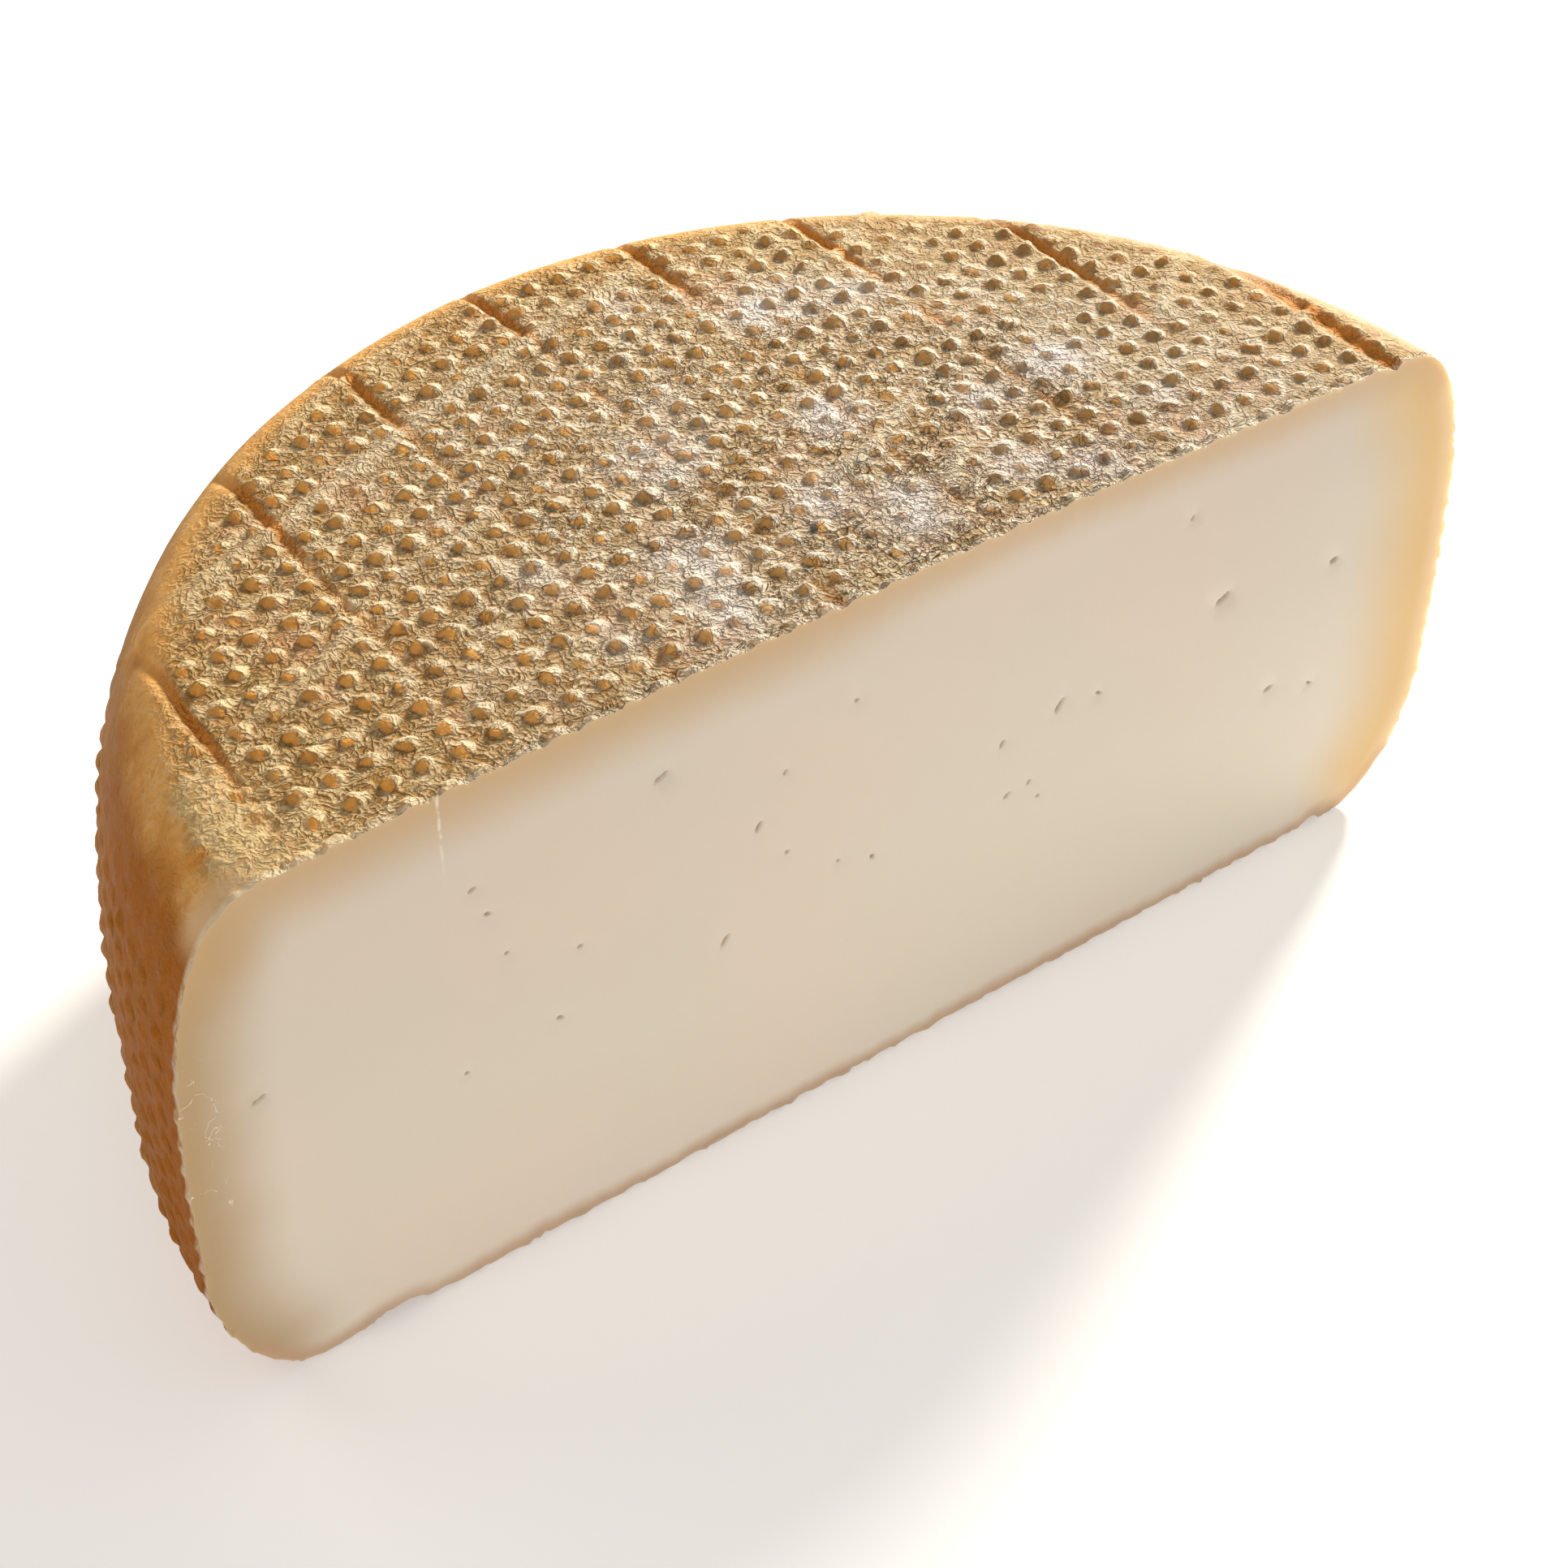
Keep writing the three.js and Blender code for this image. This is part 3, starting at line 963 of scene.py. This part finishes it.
def buildPaste():
    material = bpy.data.materials.new("ivoryPaste")
    material.use_nodes = True
    tree = material.node_tree
    shader = tree.nodes["Principled BSDF"]
    inMm = scaled(addNode(tree, "ShaderNodeTexCoord").outputs["Object"], 1 / mm)
    x, _, height = parts(inMm)[:]
    fromTop, fromWall, fromBase = (stored(tree, name) for name in ("fromTop", "fromWall", "fromBase"))
    onRight = ramp(x, -20.0, 20.0)
    onLeft = minus(1.0, onRight)
    uneven = times(minus(noise(inMm, 0.06, detail=3.0), 0.5), 7.0)
    paler = ramp(noise(inMm, 0.018, detail=3.0), 0.35, 0.65)
    colour = blend(paler, pasteLook["heart"], pasteLook["pale"])
    # Painted shade: darker towards +X and towards the top.
    colour = blend(ramp(x, -10.0, 90.0), colour, pasteLook["rightShade"], "MULTIPLY")
    colour = blend(ramp(height, 10.0, 95.0), colour, pasteLook["topShade"], "MULTIPLY")
    # Brown and narrow inside the -X wall; a wide amber band inside the +X wall, painted light shining
    # through the paste, paler at its skin.
    depth = timesPlus(uneven, 0.5, fromWall)
    colour = blend(times(onLeft, ramp(depth, 0.0, 16.0, 0.95, 0.0)), colour, pasteLook["leftEdge"])
    colour = blend(times(onRight, ramp(depth, 3.0, 24.0, 0.9, 0.0)), colour, pasteLook["paintedGlow"])
    colour = blend(times(onRight, ramp(fromWall, 0.5, 5.0, 0.9, 0.0)), colour, pasteLook["rightEdge"])
    depth = timesPlus(uneven, 0.3, fromTop)
    under = timesPlus(onLeft, ramp(depth, 0.0, 14.0, 0.85, 0.0),
                      times(onRight, ramp(depth, 0.0, 9.0, 0.75, 0.0)))
    colour = blend(under, colour, pasteLook["topEdge"])
    depth = timesPlus(uneven, 0.3, fromBase)
    colour = blend(ramp(depth, 0.0, 4.0, 0.85, 0.0), colour, pasteLook["baseEdge"])

    # White nicks near the -X wall, a smear below the lip, and painted shade inside the eyes.
    nicks = lines(noise(inMm, 0.16, detail=2.0, distortion=1.4), 0.008)
    nicks = times(nicks, ramp(x, -112.0, -115.5), ramp(noise(inMm, 0.3), 0.48, 0.56),
                  ramp(height, 38.0, 44.0), fade(height, 68.0, 74.0))
    smear = times(lines(timesPlus(plus(x, 76.2), 0.5, 0.5), 0.22),
                  ramp(height, 80.0, 98.0, 0.0, 0.6), ramp(noise(inMm, 0.5), 0.4, 0.6))
    colour = blend(larger(nicks, smear), colour, pasteLook["nick"])
    colour = blend(ramp(stored(tree, "eye"), 0.1, 0.9, 0.0, 0.8), colour, pasteLook["eyeShade"])
    tree.links.new(colour, shader.inputs["Base Color"])
    # Faint upright streaks of the knife.
    drawnOut = nextNode("ShaderNodeMapping", {0: inMm, 3: (1.0, 1.0, 0.12)}).outputs[0]
    streaks = noise(drawnOut, 0.9, detail=3.0)
    bump = nextNode("ShaderNodeBump", {"Strength": 0.25, "Distance": 0.00008, "Height": streaks})
    tree.links.new(bump.outputs[0], shader.inputs["Normal"])
    for name, value in pasteFinish.items():
        shader.inputs[name].default_value = value
    return material


cheeseMesh = fillCut(thinRind(buildRind()), buildPaste())
cheeseMesh.name = "cheeseHalf"
cheese = bpy.data.objects.new("cheeseHalf", cheeseMesh)
bpy.context.collection.objects.link(cheese)
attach(cheese, "root")
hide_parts("cheese_half")
print("cheese: done,", len(cheeseMesh.polygons), "faces")

# Floor, light and camera.
studio = {
    "floorHalf": 4.0,
    "floorColour": (0.86, 0.85, 0.83, 1),
    "floorGlow": 0.34,          # keeps the floor pale where the cheese shades it
    "glowColour": (1.0, 0.99, 0.97, 1),
    "worldColour": (1.0, 0.97, 0.92, 1),
    "worldStrength": 0.36,
    "lightsAimAt": (0.0, 0.0, 0.05),
    "lights": {                 # place, size, power and colour
        "key": ((0.82, 0.32, 0.52), 0.2, 18.0, (1.0, 0.95, 0.87)),
        "fill": ((-0.55, -1.35, 0.32), 1.0, 6.6, (1.0, 0.98, 0.96)),
        "side": ((-0.55, 0.65, 0.95), 0.7, 2.2, (1.0, 0.9, 0.76)),
    },
}
view = {
    "azimuth": -36.25,
    "elevation": 42.62,
    "roll": 0.71,
    "distance": 0.4811,
    "target": (0.0056, -0.0237, 0.0329),
    "lens": 66.29,
}


def buildFloor():
    mesh = bpy.data.meshes.new("floor")
    half = studio["floorHalf"]
    corners = [(-half, -half, 0), (half, -half, 0), (half, half, 0), (-half, half, 0)]
    mesh.from_pydata(corners, [], [(0, 1, 2, 3)])
    floor = bpy.data.objects.new("floor", mesh)
    bpy.context.collection.objects.link(floor)
    material = bpy.data.materials.new("paleFloor")
    material.use_nodes = True
    shader = material.node_tree.nodes["Principled BSDF"]
    shader.inputs["Base Color"].default_value = studio["floorColour"]
    shader.inputs["Roughness"].default_value = 0.9
    shader.inputs["Emission Color"].default_value = studio["glowColour"]
    shader.inputs["Emission Strength"].default_value = studio["floorGlow"]
    mesh.materials.append(material)


def addLight(name, place, size, power, colour):
    light = bpy.data.lights.new(name, "AREA")
    light.shape = "DISK"
    light.size = size
    light.energy = power
    light.color = colour
    lamp = bpy.data.objects.new(name, light)
    bpy.context.collection.objects.link(lamp)
    lamp.location = place
    aim = Vector(studio["lightsAimAt"]) - Vector(place)
    lamp.rotation_euler = aim.to_track_quat("-Z", "Y").to_euler()


def buildCamera():
    camera = bpy.data.objects.new("camera", bpy.data.cameras.new("camera"))
    bpy.context.collection.objects.link(camera)
    camera.data.lens = view["lens"]
    camera.data.sensor_width = 36
    turn, lift, roll = (math.radians(view[key]) for key in ("azimuth", "elevation", "roll"))
    back = Vector((math.sin(turn) * math.cos(lift), -math.cos(turn) * math.cos(lift), math.sin(lift)))
    right = Vector((math.cos(turn), math.sin(turn), 0))
    up = back.cross(right)
    right, up = (right * math.cos(roll) + up * math.sin(roll),
                 up * math.cos(roll) - right * math.sin(roll))      # turned about the line of sight
    matrix = Matrix((right, up, back)).transposed().to_4x4()
    matrix.translation = Vector(view["target"]) + back * view["distance"]
    camera.matrix_world = matrix
    bpy.context.scene.camera = camera


buildFloor()
for name, settings in studio["lights"].items():
    addLight(name, *settings)
world = bpy.data.worlds.new("studio")
world.use_nodes = True
world.node_tree.nodes["Background"].inputs[0].default_value = studio["worldColour"]
world.node_tree.nodes["Background"].inputs[1].default_value = studio["worldStrength"]
bpy.context.scene.world = world
bpy.context.scene.view_settings.view_transform = "Standard"
buildCamera()
print("studio: done")
